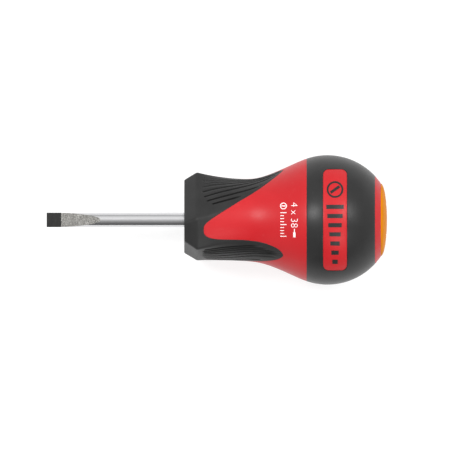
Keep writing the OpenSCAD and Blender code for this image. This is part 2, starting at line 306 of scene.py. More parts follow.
@dataclass(frozen=True)
class Finish:
    """A surface with varied colour, roughness and relief.

    Sizes of the patterns are millimetres. An axis with a small stretch draws the pattern out along it.
    """

    name: str
    base: Triple
    shade: Triple
    roughness: Pair
    tone_size: float = 3.0
    grain_size: float = 0.3
    grain_depth: float = 0.01
    wave_size: float = 4.0
    wave_depth: float = 0.0
    metallic: float = 0.0
    specular: float = 0.5
    scuff: float = 0.0
    stretch: Triple = (1.0, 1.0, 1.0)

    def noise(self, tree: bpy.types.NodeTree, source: bpy.types.NodeSocket, size: float,
              detail: float) -> bpy.types.Node:
        """Adds a noise pattern.

        Args:
            tree: Node tree of the material.
            source: Socket that gives the coordinates.
            size: Size of the pattern's spots in millimetres.
            detail: Number of finer layers.

        Returns:
            The noise node.
        """
        node = tree.nodes.new("ShaderNodeTexNoise")
        node.inputs["Scale"].default_value = 1.0 / (size * MM)
        node.inputs["Detail"].default_value = detail
        tree.links.new(source, node.inputs["Vector"])
        return node

    def ranged(self, tree: bpy.types.NodeTree, source: bpy.types.NodeSocket, start: Pair,
               end: Pair) -> bpy.types.NodeSocket:
        """Maps a value from one range to another.

        Args:
            tree: Node tree of the material.
            source: Socket of the value.
            start: Lowest and highest value that come in.
            end: The values that they become.

        Returns:
            The socket of the mapped value.
        """
        node = tree.nodes.new("ShaderNodeMapRange")
        node.inputs["From Min"].default_value, node.inputs["From Max"].default_value = start
        node.inputs["To Min"].default_value, node.inputs["To Max"].default_value = end
        tree.links.new(source, node.inputs["Value"])
        return node.outputs["Result"]

    def blend(self, tree: bpy.types.NodeTree, share: bpy.types.NodeSocket, first: object,
              second: Triple) -> bpy.types.NodeSocket:
        """Mixes two colours.

        Args:
            tree: Node tree of the material.
            share: Socket that gives the second colour's share.
            first: A colour, or the socket of one.
            second: A colour.

        Returns:
            The socket of the mixed colour.
        """
        node = tree.nodes.new("ShaderNodeMix")
        node.data_type = "RGBA"
        tree.links.new(share, node.inputs["Factor"])
        if isinstance(first, bpy.types.NodeSocket):
            tree.links.new(first, node.inputs[6])
        else:
            node.inputs[6].default_value = (*first, 1.0)
        node.inputs[7].default_value = (*second, 1.0)
        return node.outputs[2]

    def relief(self, tree: bpy.types.NodeTree, height: bpy.types.NodeSocket, depth: float,
               under: bpy.types.NodeSocket | None) -> bpy.types.NodeSocket:
        """Turns a height pattern into a bumpy normal.

        Args:
            tree: Node tree of the material.
            height: Socket of the height pattern.
            depth: Height of the pattern in millimetres.
            under: Normal that the relief lies on, if there is one already.

        Returns:
            The socket of the normal.
        """
        node = tree.nodes.new("ShaderNodeBump")
        node.inputs["Strength"].default_value = 1.0
        node.inputs["Distance"].default_value = depth * MM
        tree.links.new(height, node.inputs["Height"])
        if under is not None:
            tree.links.new(under, node.inputs["Normal"])
        return node.outputs["Normal"]

    def build(self) -> bpy.types.Material:
        """Makes the material.

        Returns:
            The finished material.
        """
        material = bpy.data.materials.new(self.name)
        material.use_nodes = True
        tree = material.node_tree
        shader = tree.nodes["Principled BSDF"]
        shader.inputs["Metallic"].default_value = self.metallic
        shader.inputs["Specular IOR Level"].default_value = self.specular
        place = tree.nodes.new("ShaderNodeTexCoord")
        mapping = tree.nodes.new("ShaderNodeMapping")
        mapping.inputs["Scale"].default_value = self.stretch
        tree.links.new(place.outputs["Object"], mapping.inputs["Vector"])
        spot = mapping.outputs["Vector"]

        tone = self.noise(tree, spot, self.tone_size, 3.0)
        grain = self.noise(tree, spot, self.grain_size, 2.0)
        colour = self.blend(tree, self.ranged(tree, tone.outputs["Fac"], TONE_RANGE, (0.0, 1.0)),
                            self.base, self.shade)
        if self.scuff > 0.0:
            marks = self.noise(tree, spot, self.tone_size / MARKS_PER_SPOT, 6.0)
            worn = self.ranged(tree, marks.outputs["Fac"], WORN_RANGE, (0.0, self.scuff))
            pale = tuple(mix(part, WORN_GREY, WORN_SHARE) for part in self.base)
            colour = self.blend(tree, worn, colour, pale)
        tree.links.new(colour, shader.inputs["Base Color"])

        spread = self.ranged(tree, grain.outputs["Fac"], GRAIN_RANGE, self.roughness)
        tree.links.new(spread, shader.inputs["Roughness"])
        normal = self.relief(tree, grain.outputs["Fac"], self.grain_depth, None)
        if self.wave_depth > 0.0:
            wave = self.noise(tree, spot, self.wave_size, 1.0)
            normal = self.relief(tree, wave.outputs["Fac"], self.wave_depth, normal)
        tree.links.new(normal, shader.inputs["Normal"])
        return material


@dataclass(frozen=True)
class Finishes:
    """Every finish of the tool."""

    chrome: Finish = Finish(
        "satin_chrome", (0.64, 0.64, 0.65), (0.61, 0.61, 0.62), (0.13, 0.18), tone_size=6.0,
        grain_size=0.05, grain_depth=0.0006, metallic=1.0, stretch=(0.04, 1.0, 1.0))
    ground: Finish = Finish(
        "ground_steel", (0.13, 0.128, 0.121), (0.08, 0.078, 0.074), (0.2, 0.3), tone_size=0.2,
        grain_size=0.09, grain_depth=0.005, metallic=1.0, stretch=(1.0, 0.12, 0.12))
    oxide: Finish = Finish(
        "black_oxide", (0.01, 0.01, 0.009), (0.006, 0.006, 0.006), (0.5, 0.62), tone_size=1.0,
        grain_size=0.08, grain_depth=0.003, specular=0.25, scuff=0.25, stretch=(1.0, 0.3, 0.3))
    core: Finish = Finish(
        "hard_black_plastic", (0.03, 0.03, 0.032), (0.024, 0.024, 0.026), (0.4, 0.5),
        grain_size=0.15, grain_depth=0.004)
    red: Finish = Finish(
        "red_moulding", (0.44, 0.012, 0.016), (0.42, 0.009, 0.013), (0.34, 0.44), tone_size=9.0,
        grain_size=0.22, grain_depth=0.0035, wave_size=5.0, wave_depth=0.004, specular=0.24,
        scuff=0.04)
    grip: Finish = Finish(
        "soft_black_grip", (0.016, 0.016, 0.016), (0.013, 0.013, 0.013), (0.42, 0.54), tone_size=4.0,
        grain_size=0.16, grain_depth=0.012, wave_size=3.0, wave_depth=0.006, specular=0.27,
        scuff=0.03)
    band: Finish = Finish(
        "soft_black_band", (0.016, 0.016, 0.016), (0.013, 0.013, 0.013), (0.33, 0.42), tone_size=5.0,
        grain_size=0.18, grain_depth=0.008, wave_size=4.0, wave_depth=0.006, specular=0.26,
        scuff=0.03)
    amber: Finish = Finish(
        "amber_cap", (0.56, 0.19, 0.002), (0.535, 0.178, 0.001), (0.42, 0.52), tone_size=4.0,
        grain_size=0.2, grain_depth=0.003, specular=0.03, scuff=0.03)
    ink: Finish = Finish(
        "white_ink", (0.86, 0.8, 0.8), (0.8, 0.72, 0.72), (0.5, 0.65), tone_size=0.4,
        grain_size=0.08, grain_depth=0.002)


@lru_cache(maxsize=None)
def material_of(finish: Finish) -> bpy.types.Material:
    """Makes a finish's material once and gives the same one each time."""
    return finish.build()


# ---- Form of the handle ----

def side_radius(into: float, span: float, r0: float, r1: float, flat: float) -> float:
    """Radius on one side of a section.

    Args:
        into: Degrees past the side's first corner.
        span: Degrees that the side spans.
        r0: Radius at the first corner.
        r1: Radius at the second corner.
        flat: 1 for a straight side, 0 for a round one.

    Returns:
        The radius.
    """
    chord = math.cos(math.radians(span / 2)) / math.cos(math.radians(into - span / 2))
    return mix(r0, r1, into / span) * (1.0 - flat * (1.0 - chord))


@dataclass(frozen=True)
class Section:
    """One cross-section of the handle: a tongue side and a pad side in each lobe.

    The tongue's side starts at the clock angle low, with the radius tall, and spans some degrees
    to a corner with the radius short. A flat of 1 makes a side straight, and 0 makes it round.
    """

    low: float
    span: float
    tall: float
    short: float
    tongue_flat: float
    pad_flat: float

    def radius(self, angle: float) -> float:
        """Radius of the section.

        Args:
            angle: Clock angle in degrees.

        Returns:
            The radius there.
        """
        into = (angle - self.low) % LOBE
        if into < self.span:
            return side_radius(into, self.span, self.tall, self.short, self.tongue_flat)
        return side_radius(into - self.span, LOBE - self.span, self.short, self.tall, self.pad_flat)


@dataclass(frozen=True)
class HandleForm:
    """The handle's outer surface, as a radius over length and clock angle."""

    face_x: float
    band_x0: float
    band_x1: float
    end_x: float
    cap_end_x: float
    ball_r: float
    rim_r: float = 10.14               # flat rear end of the ball
    chamfer_len: float = 3.5           # from the front face to the collar's ridge
    face_r: float = 11.1               # corners of the front face
    tall_r: float = 13.4               # first corner of each lobe at the ridge
    low_r: float = 12.8                # second corner of each lobe at the ridge
    waist_r: float = 11.3
    face_half: float = 14.0            # half of a tongue side's degrees at the front face
    ridge_half: float = 20.0           # the same at the ridge
    narrow_turn: float = -18.0         # clock angle of the first tongue side's middle
    tongue_back: float = 1.9           # from the ridge to the tongues' front ends
    tongue_round: float = 1 / 3        # power that rounds the tongues' front ends
    pad_to_band: float = 6.45          # from the pads' tips to the band
    pad_wind: float = 70.2             # degrees that the upper ridge line winds to the pads' tips
    wind_power: float = 1.45           # how late it winds
    lean_up: float = 16.2              # degrees from a tongue's front end to its upper ridge line
    lean_up_share: float = 0.41        # share of the pad's length in which the edge gets there
    lean_down: float = 24.4            # degrees from a tongue's front end to its lower ridge line
    lean_down_share: float = 0.55      # share of the pad's length in which the edge gets there
    waist_share: float = 0.355         # place of the waist, as a share of the neck
    waist_slope: float = -0.17         # slope at the ridge, towards the waist
    swell_half: float = 0.2726         # share of the rise to the ball at half way
    hollow_share: float = 0.467        # place of the hollow, as a share of the neck
    hollow_slope: float = -0.3         # slope at the ridge, towards the hollow
    facet_share: float = 0.31          # share of the neck in which the tongues' sides become round
    lower_bow: float = 7.2             # degrees that the lower ridge line bows out
    bow_power: float = 1.4             # how late it bows
    tip_share: float = 0.1             # share of the pad's length in which its tip is rounded
    tip_fall: float = 0.64             # the lower ridge line's share of that rounding
    ridge_soft: float = 0.45           # half of the width over which a ridge is rounded

    @classmethod
    def from_frame(cls) -> "HandleForm":
        """Takes the handle's places from the CAD nodes.

        Returns:
            The form in the CAD model's place.
        """
        grip_low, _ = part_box("front_grip")
        band_low, band_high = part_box("ball_band")
        _, shell_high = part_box("handle_shell")
        _, cap_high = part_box("end_cap")
        return cls(face_x=grip_low.x / MM, band_x0=band_low.x / MM, band_x1=band_high.x / MM,
                   end_x=shell_high.x / MM, cap_end_x=cap_high.x / MM, ball_r=band_high.y / MM)

    @property
    def ball_x(self) -> float:
        """Centre of the ball."""
        return self.end_x - math.sqrt(self.ball_r ** 2 - self.rim_r ** 2)

    @property
    def ridge_x(self) -> float:
        """Place of the collar's ridge."""
        return self.face_x + self.chamfer_len

    @property
    def tongue_x(self) -> float:
        """Place of the tongues' rounded front ends."""
        return self.ridge_x + self.tongue_back

    @property
    def pad_tip_x(self) -> float:
        """Place of the pads' rear tips."""
        return self.band_x0 - self.pad_to_band

    @property
    def neck_len(self) -> float:
        """Length from the ridge to the ball band."""
        return self.band_x0 - self.ridge_x

    @property
    def pad_len(self) -> float:
        """Length from the ridge to the pads' tips."""
        return self.pad_tip_x - self.ridge_x

    def ball_at(self, x: float) -> float:
        """Radius of the ball at x."""
        return math.sqrt(max(0.0, self.ball_r ** 2 - (x - self.ball_x) ** 2))

    def crown(self, x: float) -> float:
        """Radius along the tongues' upper edges.

        Behind the waist it is a quartic that leaves the waist level, has risen by the share
        swell_half at half way, and meets the ball with the ball's own slope.

        Args:
            x: Place along the handle.

        Returns:
            The radius.
        """
        waist_x = self.ridge_x + self.waist_share * self.neck_len
        if x < waist_x:
            run = waist_x - self.ridge_x
            return hermite((x - self.ridge_x) / run, run, self.low_r, self.waist_slope, self.waist_r, 0.0)
        if x >= self.band_x0:
            return self.ball_at(x)
        run = self.band_x0 - waist_x
        end_r = self.ball_at(self.band_x0)
        rise = end_r - self.waist_r
        slope = (self.ball_x - self.band_x0) / end_r * run / rise
        curl = 16 * self.swell_half - 8 + 2 * slope
        t = (x - waist_x) / run
        return self.waist_r + rise * t ** 2 * (3 - slope + curl + (slope - 2 - 2 * curl) * t
                                               + curl * t ** 2)

    def hollow(self, x: float) -> float:
        """Radius along the tongues' lower edges, which start higher and sink further back.

        Args:
            x: Place along the handle, up to the pads' tips.

        Returns:
            The radius.
        """
        hollow_x = self.ridge_x + self.hollow_share * self.neck_len
        if x < hollow_x:
            run = hollow_x - self.ridge_x
            return hermite((x - self.ridge_x) / run, run, self.tall_r, self.hollow_slope, self.waist_r, 0.0)
        run = self.pad_tip_x - hollow_x
        nudge = 0.01
        slope = (self.crown(self.pad_tip_x + nudge) - self.crown(self.pad_tip_x - nudge)) / (2 * nudge)
        return hermite((x - hollow_x) / run, run, self.waist_r, 0.0, self.crown(self.pad_tip_x), slope)

    def chamfer_at(self, x: float) -> float:
        """Share of the way from the front face to the ridge."""
        return min(1.0, (x - self.face_x) / self.chamfer_len)

    def pad_at(self, x: float) -> float:
        """Share of the way from the ridge to the pads' tips."""
        return clamp((x - self.ridge_x) / self.pad_len, 0.0, 1.0)

    def tip_turn(self, x: float) -> float:
        """Degrees that the rounding of a pad's tip has closed.

        Args:
            x: Place along the handle.

        Returns:
            The degrees, which are 0 ahead of the tip and all that the winding leaves at its end.
        """
        gap = LOBE - 2.0 * self.ridge_half - self.pad_wind
        into = max(0.0, 1.0 - (1.0 - self.pad_at(x)) / self.tip_share)
        return gap * (1.0 - math.sqrt(1.0 - into ** 2))

    def half_span(self, x: float) -> float:
        """Half of the degrees between a tongue's ridge lines, before they wind."""
        return mix(self.face_half, self.ridge_half, self.chamfer_at(x))

    def lower_line(self, x: float) -> float:
        """Clock angle of the first tongue's lower ridge line."""
        bow = self.lower_bow * math.sin(math.pi * self.pad_at(x) ** self.bow_power)
        return self.narrow_turn - self.half_span(x) + bow - self.tip_fall * self.tip_turn(x)

    def upper_line(self, x: float) -> float:
        """Clock angle of the first tongue's upper ridge line."""
        wind = self.pad_wind * self.pad_at(x) ** self.wind_power
        return self.narrow_turn + self.half_span(x) + wind + (1.0 - self.tip_fall) * self.tip_turn(x)

    @lru_cache(maxsize=None)
    def section(self, x: float) -> Section:
        """Makes the cross-section of the handle once.

        Args:
            x: Place along the handle.

        Returns:
            The section, with sharp ridges.
        """
        low = self.lower_line(x)
        span = self.upper_line(x) - low
        if x > self.pad_tip_x:
            return Section(low, span, self.crown(x), self.crown(x), 0.0, 0.0)
        if x < self.ridge_x:
            share = self.chamfer_at(x)
            return Section(low, span, mix(self.face_r, self.tall_r, share),
                           mix(self.face_r, self.low_r, share), 1.0, 1.0)
        reach = self.facet_share * self.neck_len
        tongue_flat = (1.0 - min(1.0, (x - self.ridge_x) / reach)) ** 2
        return Section(low, span, self.hollow(x), self.crown(x), tongue_flat,
                       (1.0 - self.pad_at(x)) ** 3)

    def radius(self, x: float, angle: float) -> float:
        """Radius with the ridges rounded: a weighted mean of places round the spot.

        Args:
            x: Place along the handle.
            angle: Clock angle in degrees.

        Returns:
            The radius.
        """
        turn = math.degrees(self.ridge_soft / self.waist_r)
        total = 0.0
        for along, weight in SOFT_PLACES:
            cut = self.section(x + along * self.ridge_soft)
            total += weight * sum(part * cut.radius(angle + across * turn) for across, part in SOFT_PLACES)
        return total / SOFT_SUM ** 2

    def tongue_upper(self, x: float) -> float:
        """Clock angle of the first tongue's upper edge."""
        at = clamp((x - self.tongue_x) / (self.lean_up_share * self.pad_len), 0.0, 1.0)
        return self.upper_line(min(x, self.pad_tip_x)) - self.lean_up * (1.0 - at ** self.tongue_round)

    def tongue_lower(self, x: float) -> float:
        """Clock angle of the first tongue's lower edge."""
        at = clamp((x - self.tongue_x) / (self.lean_down_share * self.pad_len), 0.0, 1.0)
        return self.lower_line(min(x, self.pad_tip_x)) + self.lean_down * (1.0 - at ** self.tongue_round)

    def tongue_edges(self, x: float) -> Pair:
        """Clock angles of the first tongue's two edges, which are one line ahead of its front.

        Args:
            x: Place along the handle.

        Returns:
            The angles of the lower and the upper edge.
        """
        if x < self.tongue_x:
            middle = (self.tongue_lower(self.tongue_x) + self.tongue_upper(self.tongue_x)) / 2
            return middle, middle
        return self.tongue_lower(x), self.tongue_upper(x)


# ---- Pieces ----

@dataclass
class Piece(ABC):
    """A piece of the tool that stands for a CAD node."""

    form: HandleForm
    finishes: Finishes
    name: str = ""
    slot: Slot = Slot.SHELL
    node: str = ""

    @abstractmethod
    def shape(self, bm: bmesh.types.BMesh) -> None:
        """Builds the piece's closed mesh into an empty one."""

    @abstractmethod
    def dress(self) -> list[Finish]:
        """Finishes of the piece, in the order of its material numbers."""

    def make(self) -> bpy.types.Object:
        """Builds the piece, dresses it and puts it in the frame.

        Returns:
            The finished object.
        """
        bm = bmesh.new()
        self.shape(bm)
        crease(bm)
        mesh = bpy.data.meshes.new(self.name)
        bm.to_mesh(mesh)
        bm.free()
        piece = bpy.data.objects.new(self.name, mesh)
        bpy.context.scene.collection.objects.link(piece)
        for finish in self.dress():
            mesh.materials.append(material_of(finish))
        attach(piece, "root")
        if self.node:
            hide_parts(self.node)
        log.info("%s: %d faces, slot %s", self.name, len(mesh.polygons), self.slot.value)
        return piece


@dataclass
class Blade(Piece):
    """Round shank with a ground flat tip, and the tang that the handle holds."""

    name: str = "steel_blade"
    slot: Slot = Slot.BLADE
    node: str = "blade"
    shank_r: float = 2.0
    tip_half: float = 0.4
    tip_len: float = 4.0
    flats_len: float = 10.9
    flats_pack: float = 1.6
    shoulder_gap: float = 0.3
    tang_r: float = 1.8
    tang_len: float = 34.0
    tang_taper: float = 1.0
    wing_size: Triple = (8.0, 7.6, 1.2)
    wing_inset: float = 14.0
    chamfer: float = 0.06
    flat_columns: int = 8
    side_columns: int = 24
    tip_rows: int = 3
    flats_rows: int = 28
    shank_rows: int = 8
    ground_number: int = 1   # places of the finishes in dress()
    oxide_number: int = 2
    on_flat: float = 1e-4    # a face's middle nearer to the flat than this lies on it

    def dress(self) -> list[Finish]:
        """Chrome, ground flats and black oxide tip."""
        return [self.finishes.chrome, self.finishes.ground, self.finishes.oxide]

    def half_thickness(self, x: float) -> float:
        """Half of the blade's thickness at x."""
        slope = (self.shank_r - self.tip_half) / self.flats_len
        return clamp(self.tip_half + slope * (x - self.tip_len), self.tip_half, self.shank_r)

    def outline(self, x: float, inset: float, column: int) -> Pair:
        """Point of the cross-section at x.

        Args:
            x: Place along the tool.
            inset: How far the section is drawn in.
            column: Number of the point, counted from the -Y corner of the upper flat.

        Returns:
            Its y and z.
        """
        radius = self.shank_r - inset
        half = min(radius, self.half_thickness(x) - inset)
        corner = math.degrees(math.acos(half / radius))
        per_half = self.flat_columns + self.side_columns
        turns, at = divmod(column, per_half)
        flip = -1.0 if turns % 2 else 1.0
        if at <= self.flat_columns:
            reach = radius * math.sin(math.radians(corner))
            return flip * mix(-reach, reach, at / self.flat_columns), flip * half
        angle = math.radians(mix(corner, 180.0 - corner, (at - self.flat_columns) / self.side_columns))
        return flip * radius * math.sin(angle), flip * radius * math.cos(angle)

    def rows(self) -> list[Pair]:
        """Places along the blade, each with how far the section is drawn in there."""
        run_out = self.tip_len + self.flats_len
        shoulder = self.form.face_x + self.shoulder_gap
        step = self.shank_r - self.tang_r
        rows = [(0.0, self.chamfer), (self.chamfer, 0.0)]
        rows += [(x, 0.0) for x in steps(1.0, self.tip_len, self.tip_rows)]
        rows += [(self.tip_len + self.flats_len * (1 - (1 - t) ** self.flats_pack), 0.0)
                 for t in steps(0.0, 1.0, self.flats_rows)[1:]]
        rows += [(x, 0.0) for x in steps(run_out, shoulder, self.shank_rows)[1:]]
        rows += [(shoulder, step), (shoulder + self.tang_len - self.tang_taper, step),
                 (shoulder + self.tang_len, self.shank_r / 2)]
        return rows

    def shape(self, bm: bmesh.types.BMesh) -> None:
        """Lofts the blade through its sections, then adds the tang's wings.

        Args:
            bm: Empty mesh that receives the blade.
        """
        rows = self.rows()
        columns = 2 * (self.flat_columns + self.side_columns)

        def place(row: int, column: int) -> Vector:
            """Place of a vertex."""
            x, inset = rows[row]
            return Vector((x, *self.outline(x, inset, column % columns)))

        lay_patch(bm, len(rows) - 1, columns, place)
        merge_close(bm)
        close_ends(bm)
        for face in bm.faces:
            centre = face.calc_center_median() / MM
            off_flat = abs(abs(centre.z) - self.half_thickness(centre.x))
            if centre.x < self.tip_len:
                face.material_index = self.oxide_number
            elif centre.x < self.tip_len + self.flats_len and off_flat < self.on_flat:
                face.material_index = self.ground_number
        wings = bmesh.ops.create_cube(bm, size=1.0)
        bmesh.ops.scale(bm, vec=Vector(self.wing_size) * MM, verts=wings["verts"])
        middle = self.form.face_x + self.shoulder_gap + self.wing_inset + self.wing_size[0] / 2
        bmesh.ops.translate(bm, vec=Vector((middle, 0.0, 0.0)) * MM, verts=wings["verts"])


@dataclass
class RedShell(Piece):
    """Hard moulding: three tongues between the pads, the waist, the band's seat and the rim."""

    name: str = "red_shell"
    slot: Slot = Slot.SHELL
    node: str = "handle_shell"
    wall: float = 0.9
    seat_depth: float = 1.6
    end_depth: float = 1.2
    columns: int = 30
    tongue_rows: int = 90
    waist_rows: int = 16
    seat_rows: int = 10

    def dress(self) -> list[Finish]:
        """Red moulding."""
        return [self.finishes.red]

    def rows(self) -> list[Pair]:
        """Places along the handle, each with the depth below the surface there."""
        form = self.form
        length = form.pad_tip_x - form.tongue_x
        rows = [(form.tongue_x + length * lengthwise(t), 0.0) for t in steps(0.0, 1.0, self.tongue_rows)]
        rows += [(x, 0.0) for x in steps(form.pad_tip_x, form.band_x0 - EDGE_STEPS[-1], self.waist_rows)[1:]]
        rows += [(form.band_x0 - step, roll(step)) for step in reversed(EDGE_STEPS[:-1])]
        rows += [(x, self.seat_depth) for x in steps(form.band_x0, form.band_x1, self.seat_rows)]
        rows += [(form.band_x1 + step, roll(step)) for step in EDGE_STEPS]
        rows += [(form.end_x - step, roll(step)) for step in reversed(EDGE_STEPS)]
        rows.append((form.end_x, self.end_depth))
        return rows

    def shape(self, bm: bmesh.types.BMesh) -> None:
        """Lays one patch for each lobe from the tongue's front end to the rear rim.

        Args:
            bm: Empty mesh that receives the shell.
        """
        form = self.form
        rows = self.rows()
        count = self.columns + 2 * (len(EDGE_STEPS) - 1)

        @lru_cache(maxsize=None)
        def angles(row: int) -> tuple[float, ...]:
            """Clock angles of a row's vertices on the first tongue."""
            x = rows[row][0]
            low, high = form.tongue_edges(x)
            edge = min(math.degrees(EDGE_STEPS[-1] / form.crown(x)), (high - low) / 4)
            lines = [step / EDGE_STEPS[-1] * edge for step in EDGE_STEPS[:-1]]
            return tuple([low + line for line in lines] + steps(low + edge, high - edge, self.columns)
                         + [high - line for line in reversed(lines)])

        for lobe in range(LOBES):
            def place(row: int, column: int, turn: float = lobe * LOBE) -> Vector:
                """Place of a vertex on this lobe."""
                x, sink = rows[row]
                line = angles(row)
                angle = line[column]
                radius = form.radius(x, angle)
                side = math.radians(min(angle - line[0], line[-1] - angle)) * radius
                if x <= form.pad_tip_x:
                    sink += roll(min(side, x - form.tongue_x))
                else:
                    sink += roll(math.hypot(side, x - form.pad_tip_x))
                return around(x, radius - sink, angle + turn)
            lay_patch(bm, len(rows) - 1, count, place)
        merge_close(bm)
        thicken(bm, self.wall, Vector((form.ball_x, 0.0, 0.0)))


@dataclass(frozen=True)
class Groove:
    """One groove of a finger pad: where it lies round the pad, how it winds, and its two ends."""

    angle: float
    wind: float
    start_x: float
    end_x: float


@dataclass
class FrontGrip(Piece):
    """Soft moulding: front wall, six-sided collar and three grooved finger pads."""

    name: str = "finger_grip"
    slot: Slot = Slot.GRIP
    node: str = "front_grip"
    wall: float = 1.0
    bore_r: float = 5.03
    groove_half: float = 0.32
    groove_depth: float = 0.65
    groove_run_in: float = 0.3    # length in which a groove reaches its depth
    groove_run_out: float = 3.5   # length in which it fades out
    groove_narrow: float = 0.6    # share of its width where it is shallow
    groove_flat: float = 2.4      # power that flattens its bottom
    groove_side: float = 1.3      # power that softens its sides
    # mesh lines of the rounded edges: distance behind the face with the share of the way out,
    # shares of the way out on the face, and distance behind the face with the depth
    bore_edge: tuple[Pair, ...] = ((1.2, 0.0), (0.15, 0.0), (0.04, 0.006), (0.0, 0.025))
    face_shares: tuple[float, ...] = (0.3, 0.6, 0.9, 0.965)
    rim_edge: tuple[Pair, ...] = ((0.03, 0.12), (0.1, 0.03), (0.2, 0.0))
    front_steps: tuple[float, ...] = (0.12, 0.05, 0.01)
    front_gap: float = 0.25
    soft_reach: float = 1.3       # the rows are close within this many softnesses of the ridge
    ridge_step: float = 0.27      # distance between the columns along a ridge line
    fill: int = 4                 # columns between two neighbouring lines
    end_fill: int = 8             # columns between the last line and the pad's edge
    chamfer_rows: int = 7
    ridge_rows: int = 10
    collar_rows: int = 6
    pad_rows: int = 120
    tip_blunt: float = 0.9994     # the pad ends at this share, so that its tip isn't a needle
    grooves: tuple[Groove, ...] = (
        Groove(19.6, 1.56, 45.8, 54.8), Groove(28.0, 1.56, 44.3, 60.0),
        Groove(37.9, 1.56, 43.6, 63.8), Groove(49.0, 1.2, 43.2, 64.6),
        Groove(59.5, 0.76, 43.2, 65.2), Groove(65.8, 0.58, 43.5, 64.8),
        Groove(71.0, 0.46, 43.2, 62.0), Groove(76.0, 0.32, 43.6, 60.0))

    def dress(self) -> list[Finish]:
        """Soft black."""
        return [self.finishes.grip]

    def groove_angle(self, groove: Groove, x: float) -> float:
        """Clock angle of a groove."""
        return groove.angle + groove.wind * (max(x, groove.start_x) - self.form.tongue_x)

    def groove_strength(self, groove: Groove, x: float) -> float:
        """How deep a groove is at x, from 0 to 1."""
        return (smooth_step(groove.start_x - self.groove_run_in, groove.start_x + self.groove_run_in, x)
                * (1.0 - smooth_step(groove.end_x - self.groove_run_out, groove.end_x, x)))

    def groove_reach(self, strength: float) -> float:
        """Half of a groove's width, which is less where the groove is shallow."""
        return self.groove_half * mix(self.groove_narrow, 1.0, strength)

    def groove_sink(self, x: float, angle: float, radius: float) -> float:
        """Depth of the grooves at a place on the first pad.

        Args:
            x: Place along the handle.
            angle: Clock angle in degrees.
            radius: Radius of the surface there.

        Returns:
            The depth below the surface.
        """
        sink = 0.0
        for groove in self.grooves:
            strength = self.groove_strength(groove, x)
            if strength <= 0.0:
                continue
            away = abs(math.radians(angle - self.groove_angle(groove, x))) * radius
            away /= self.groove_reach(strength)
            if away < 1.0:
                section = (1.0 - away ** self.groove_flat) ** self.groove_side
                sink = max(sink, self.groove_depth * strength * section)
        return sink

    def rows(self) -> list[Triple]:
        """Rows of the skin from the bore to the pads' tips.

        Returns:
            For each row its place along the handle, the share of the way out from the bore to the
            surface, and the depth below the surface.
        """
        form = self.form
        edge = form.face_x
        rows = [(edge + back, share, 0.0) for back, share in self.bore_edge]
        rows += [(edge, share, 0.0) for share in self.face_shares]
        rows += [(edge + back, 1.0, depth) for back, depth in self.rim_edge]
        soft = form.ridge_soft * self.soft_reach
        stops = (edge + self.rim_edge[-1][0], form.ridge_x - soft, form.ridge_x + soft,
                 form.tongue_x - self.front_gap)
        counts = (self.chamfer_rows, self.ridge_rows, self.collar_rows)
        for start, end, count in zip(stops, stops[1:], counts):
            rows += [(x, 1.0, 0.0) for x in steps(start, end, count)[1:]]
        rows += [(form.tongue_x - step, 1.0, 0.0) for step in self.front_steps]
        length = (form.pad_tip_x - form.tongue_x) * self.tip_blunt
        rows += [(form.tongue_x + length * lengthwise(t), 1.0, 0.0) for t in steps(0.0, 1.0, self.pad_rows)]
        return rows

    def angles(self, x: float) -> list[float]:
        """Clock angles of a row's points on the first pad.

        The points follow the tongues' edges, the two ridge lines and the grooves.

        Args:
            x: Place along the handle.

        Returns:
            The angles in rising order, the same number on every row.
        """
        form = self.form
        per_mm = math.degrees(1.0 / form.crown(max(x, form.ridge_x)))
        start = form.tongue_edges(x)[1]
        end = form.tongue_edges(x)[0] + LOBE
        edge = min(EDGE_STEPS[-1] * per_mm, (end - start) / 4)
        lines = [step / EDGE_STEPS[-1] * edge for step in EDGE_STEPS]
        low, high = start + edge, end - edge
        first = clamp(form.upper_line(x), low, high)
        last = clamp(form.lower_line(x) + LOBE, low, high)
        side = self.ridge_step * per_mm
        spread = [side * share for share in (-2, -1, 0, 1, 2)]
        groups = [[start + line for line in lines], [first + part for part in spread]]
        for groove in self.grooves:
            middle = self.groove_angle(groove, x)
            half = self.groove_reach(self.groove_strength(groove, x)) * per_mm
            groups.append([middle + half * share for share in (-1.0, -0.7, -0.3, 0.3, 0.7, 1.0)])
        groups += [[last + part for part in spread], [end - line for line in reversed(lines)]]
        flat = sorted(clamp(angle, low, high) for group in groups[1:-1] for angle in group)
        taken, row = 0, list(groups[0])
        for group in groups[1:-1]:
            part = flat[taken:taken + len(group)]
            taken += len(group)
            row += steps(row[-1], part[0], self.fill)[1:-1] + part
        return row + steps(row[-1], groups[-1][0], self.end_fill)[1:-1] + groups[-1]

    def shape(self, bm: bmesh.types.BMesh) -> None:
        """Lays one patch for each lobe, from the bore out over the collar to the pad's tip.

        Args:
            bm: Empty mesh that receives the grip.
        """
        form = self.form
        rows = self.rows()
        lines = [self.angles(x) for x, _, _ in rows]

        @lru_cache(maxsize=None)
        def spot(row: int, column: int) -> Pair:
            """Clock angle and radius of a vertex on the first pad."""
            x, share, sink = rows[row]
            line = lines[row]
            angle = line[column]
            radius = form.radius(x, angle)
            near = math.radians(min(angle - line[0], line[-1] - angle)) * radius
            ahead = max(0.0, form.tongue_x - x)
            sink += roll(math.hypot(near, ahead)) + self.groove_sink(x, angle, radius)
            return angle, mix(self.bore_r, radius - sink, share)

        for lobe in range(LOBES):
            def place(row: int, column: int, turn: float = lobe * LOBE) -> Vector:
                """Place of a vertex on this lobe."""
                angle, radius = spot(row, column)
                return around(rows[row][0], radius, angle + turn)
            lay_patch(bm, len(rows) - 1, len(lines[0]) - 1, place)
        merge_close(bm)
        thicken(bm, self.wall, Vector((form.tongue_x, 0.0, 0.0)))


